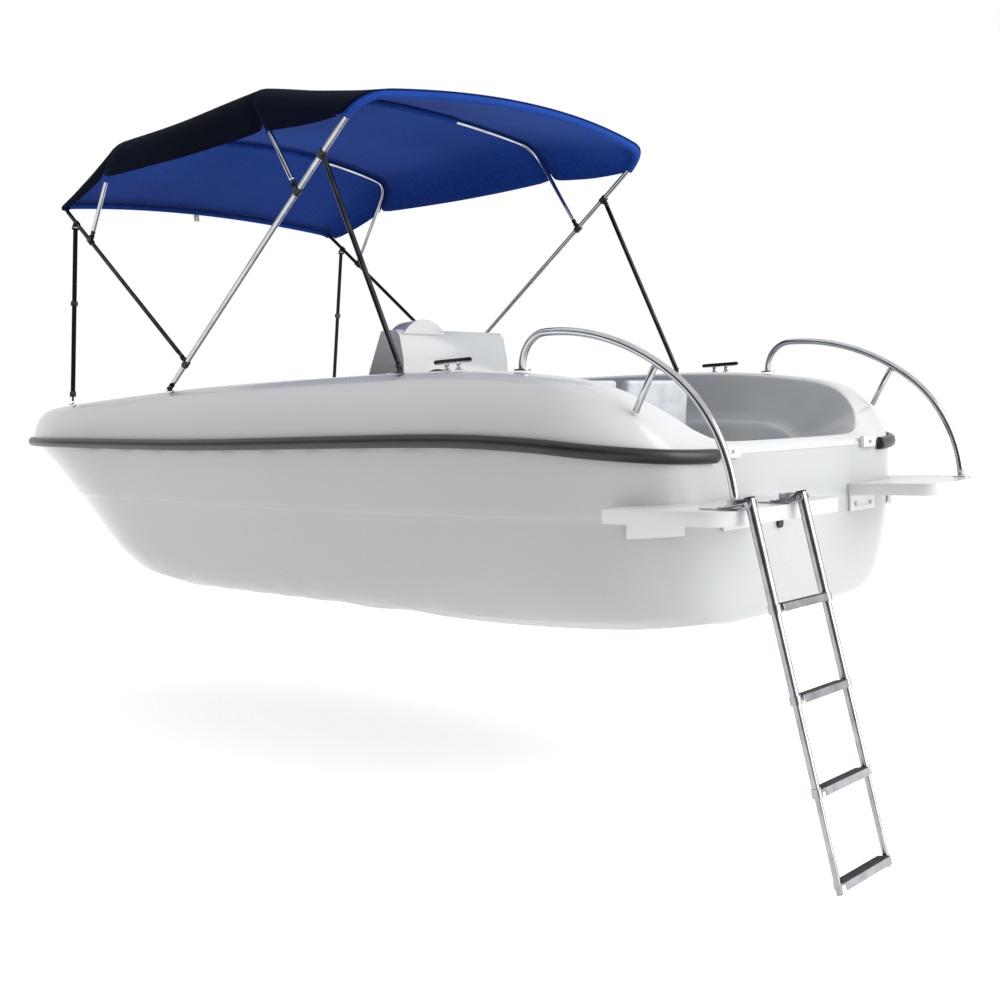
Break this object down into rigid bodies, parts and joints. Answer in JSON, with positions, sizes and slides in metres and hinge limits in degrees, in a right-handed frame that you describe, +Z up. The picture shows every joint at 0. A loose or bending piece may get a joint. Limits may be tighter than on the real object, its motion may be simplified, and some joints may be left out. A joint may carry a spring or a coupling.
{
  "type": "pedal boat",
  "caption": "Small white glass-fibre pedal boat with a folding sun canopy, stern platforms, grab rails and a telescoping boarding ladder.",
  "frame": {"origin": "centre of the flat keel pad under the hull, about a boat's half length forward of the transom", "axes": "+X to the bow, +Y to port, +Z up"},
  "size_m": [5.826, 1.985, 2.9148],
  "materials": {
    "gelcoat": "white gelcoat on glass fibre, glossy",
    "rub_rubber": "black extruded rubber, satin",
    "stainless_tube": "polished stainless tube",
    "dark_tube": "polished stainless tube in shade",
    "ladder_steel": "polished stainless",
    "step_steel": "pressed stainless channel, dark tread",
    "cast_steel": "polished cast stainless",
    "black_nylon": "black glass-filled nylon",
    "screw_steel": "dark screw with knurled nut",
    "canopy_cloth": "navy woven canopy cloth",
    "webbing": "black woven webbing",
    "seat_plastic": "light grey moulded plastic",
    "drive_steel": "turned steel",
    "drive_cast": "dark anodised aluminium",
    "pedal_plastic": "black moulded pedal",
    "bronze": "cast bronze"
  },
  "bodies": {
    "hull": {"hull_shell": "gelcoat", "deck_liner": "gelcoat", "rub_rail": "rub_rubber", "corner_caps": "gelcoat", "corner_bolts": "cast_steel", "port_platform": "gelcoat", "starboard_platform": "gelcoat", "platform_bolts": "cast_steel", "port_grab_rail": "stainless_tube", "starboard_grab_rail": "stainless_tube", "rail_bases": "stainless_tube", "ladder_brackets": "ladder_steel", "ladder_pins": "ladder_steel", "main_bow": "stainless_tube", "main_eye_ends": "black_nylon", "deck_hinges": "black_nylon", "main_clamps": "black_nylon", "aft_struts": "dark_tube", "strut_ends": "black_nylon", "pivot_screws_main": "screw_steel", "deck_eyes": "cast_steel", "cleats": "cast_steel", "bow_eye": "cast_steel", "console": "gelcoat", "column_bearing": "black_nylon", "seats": "seat_plastic", "crank_bearings": "drive_cast", "drive_leg": "drive_cast", "drive_trunk": "gelcoat", "rudder_tube": "drive_cast", "drain_plug": "black_nylon"},
    "ladder_upper": {"ladder_rails_1": "ladder_steel", "ladder_step_1": "step_steel", "ladder_caps": "black_nylon"},
    "ladder_second": {"ladder_rails_2": "ladder_steel", "ladder_step_2": "step_steel"},
    "ladder_third": {"ladder_rails_3": "ladder_steel", "ladder_step_3": "step_steel"},
    "ladder_lowest": {"ladder_rails_4": "ladder_steel", "ladder_step_4": "step_steel"},
    "front_frame": {"front_bow": "dark_tube", "front_eye_ends": "black_nylon", "front_clamps": "black_nylon", "pivot_screws_front": "screw_steel", "strap_sliders": "black_nylon"},
    "rear_mid_frame": {"rear_mid_bow": "stainless_tube", "rear_mid_eyes": "black_nylon", "canopy": "canopy_cloth"},
    "front_mid_frame": {"front_mid_bow": "stainless_tube", "front_mid_eyes": "black_nylon"},
    "strap_set": {"straps": "webbing", "strap_fittings": "black_nylon"},
    "wheel": {"steering_wheel": "black_nylon", "steering_shaft": "drive_steel"},
    "rudder": {"rudder": "drive_cast"},
    "crank": {"crankshaft": "drive_steel"},
    "pedals_up": {"pedals_upper": "pedal_plastic"},
    "pedals_down": {"pedals_lower": "pedal_plastic"},
    "prop": {"propeller": "bronze"}
  },
  "joints": [
    {"name": "ladder_swing", "type": "hinge", "parent": "hull", "child": "ladder_upper", "pos_m": [-2.673, 0.778, 0.51], "axis": [0, 1, 0], "range_deg": [0, 160]},
    {"name": "ladder_slide_2", "type": "slide", "parent": "ladder_upper", "child": "ladder_second", "axis": [0.2284, 0, 0.9736], "range_m": [0, 0.215]},
    {"name": "ladder_slide_3", "type": "slide", "parent": "ladder_second", "child": "ladder_third", "axis": [0.2284, 0, 0.9736], "range_m": [0, 0.215]},
    {"name": "ladder_slide_4", "type": "slide", "parent": "ladder_third", "child": "ladder_lowest", "axis": [0.2284, 0, 0.9736], "range_m": [0, 0.215]},
    {"name": "canopy_fold", "type": "hinge", "parent": "hull", "child": "front_frame", "pos_m": [0.45095, 0, 1.14085], "axis": [0, -1, 0], "range_deg": [0, 100], "deforming": ["canopy"]},
    {"name": "rear_mid_fold", "type": "hinge", "parent": "hull", "child": "rear_mid_frame", "pos_m": [-0.49411, 0, 1.78553], "axis": [0, -1, 0], "range_deg": [0, 86]},
    {"name": "front_mid_fold", "type": "hinge", "parent": "front_frame", "child": "front_mid_frame", "pos_m": [1.27959, 0, 1.82633], "axis": [0, -1, 0], "range_deg": [-85, 0]},
    {"name": "strap_fold", "type": "hinge", "parent": "front_frame", "child": "strap_set", "pos_m": [1.45837, 0, 1.88987], "axis": [0, -1, 0], "range_deg": [-64, 0]},
    {"name": "wheel_turn", "type": "hinge", "parent": "hull", "child": "wheel", "pos_m": [-0.43, 0.15, 0.885], "axis": [1, 0, 0], "range_deg": [-180, 180]},
    {"name": "rudder_turn", "type": "hinge", "parent": "hull", "child": "rudder", "pos_m": [-1.5, 0, 0], "axis": [0, 0, 1], "range_deg": [-35, 35]},
    {"name": "crank_turn", "type": "hinge", "parent": "hull", "child": "crank", "pos_m": [-0.65, 0, 0.47], "axis": [0, 1, 0], "continuous": true},
    {"name": "upper_pedal_turn", "type": "hinge", "parent": "crank", "child": "pedals_up", "pos_m": [-0.65, 0, 0.592], "axis": [0, 1, 0], "continuous": true},
    {"name": "lower_pedal_turn", "type": "hinge", "parent": "crank", "child": "pedals_down", "pos_m": [-0.65, 0, 0.348], "axis": [0, 1, 0], "continuous": true},
    {"name": "propeller_turn", "type": "hinge", "parent": "hull", "child": "prop", "pos_m": [-0.65, 0, -0.069], "axis": [1, 0, 0], "continuous": true}
  ],
  "couplings": [
    {"joint": "rear_mid_fold", "follows": "canopy_fold", "ratio": 0.845},
    {"joint": "front_mid_fold", "follows": "canopy_fold", "ratio": -0.832},
    {"joint": "strap_fold", "follows": "canopy_fold", "ratio": -0.61},
    {"joint": "rudder_turn", "follows": "wheel_turn", "ratio": 0.19444},
    {"joint": "upper_pedal_turn", "follows": "crank_turn", "ratio": -1},
    {"joint": "lower_pedal_turn", "follows": "crank_turn", "ratio": -1},
    {"joint": "propeller_turn", "follows": "crank_turn", "ratio": 8}
  ]
}
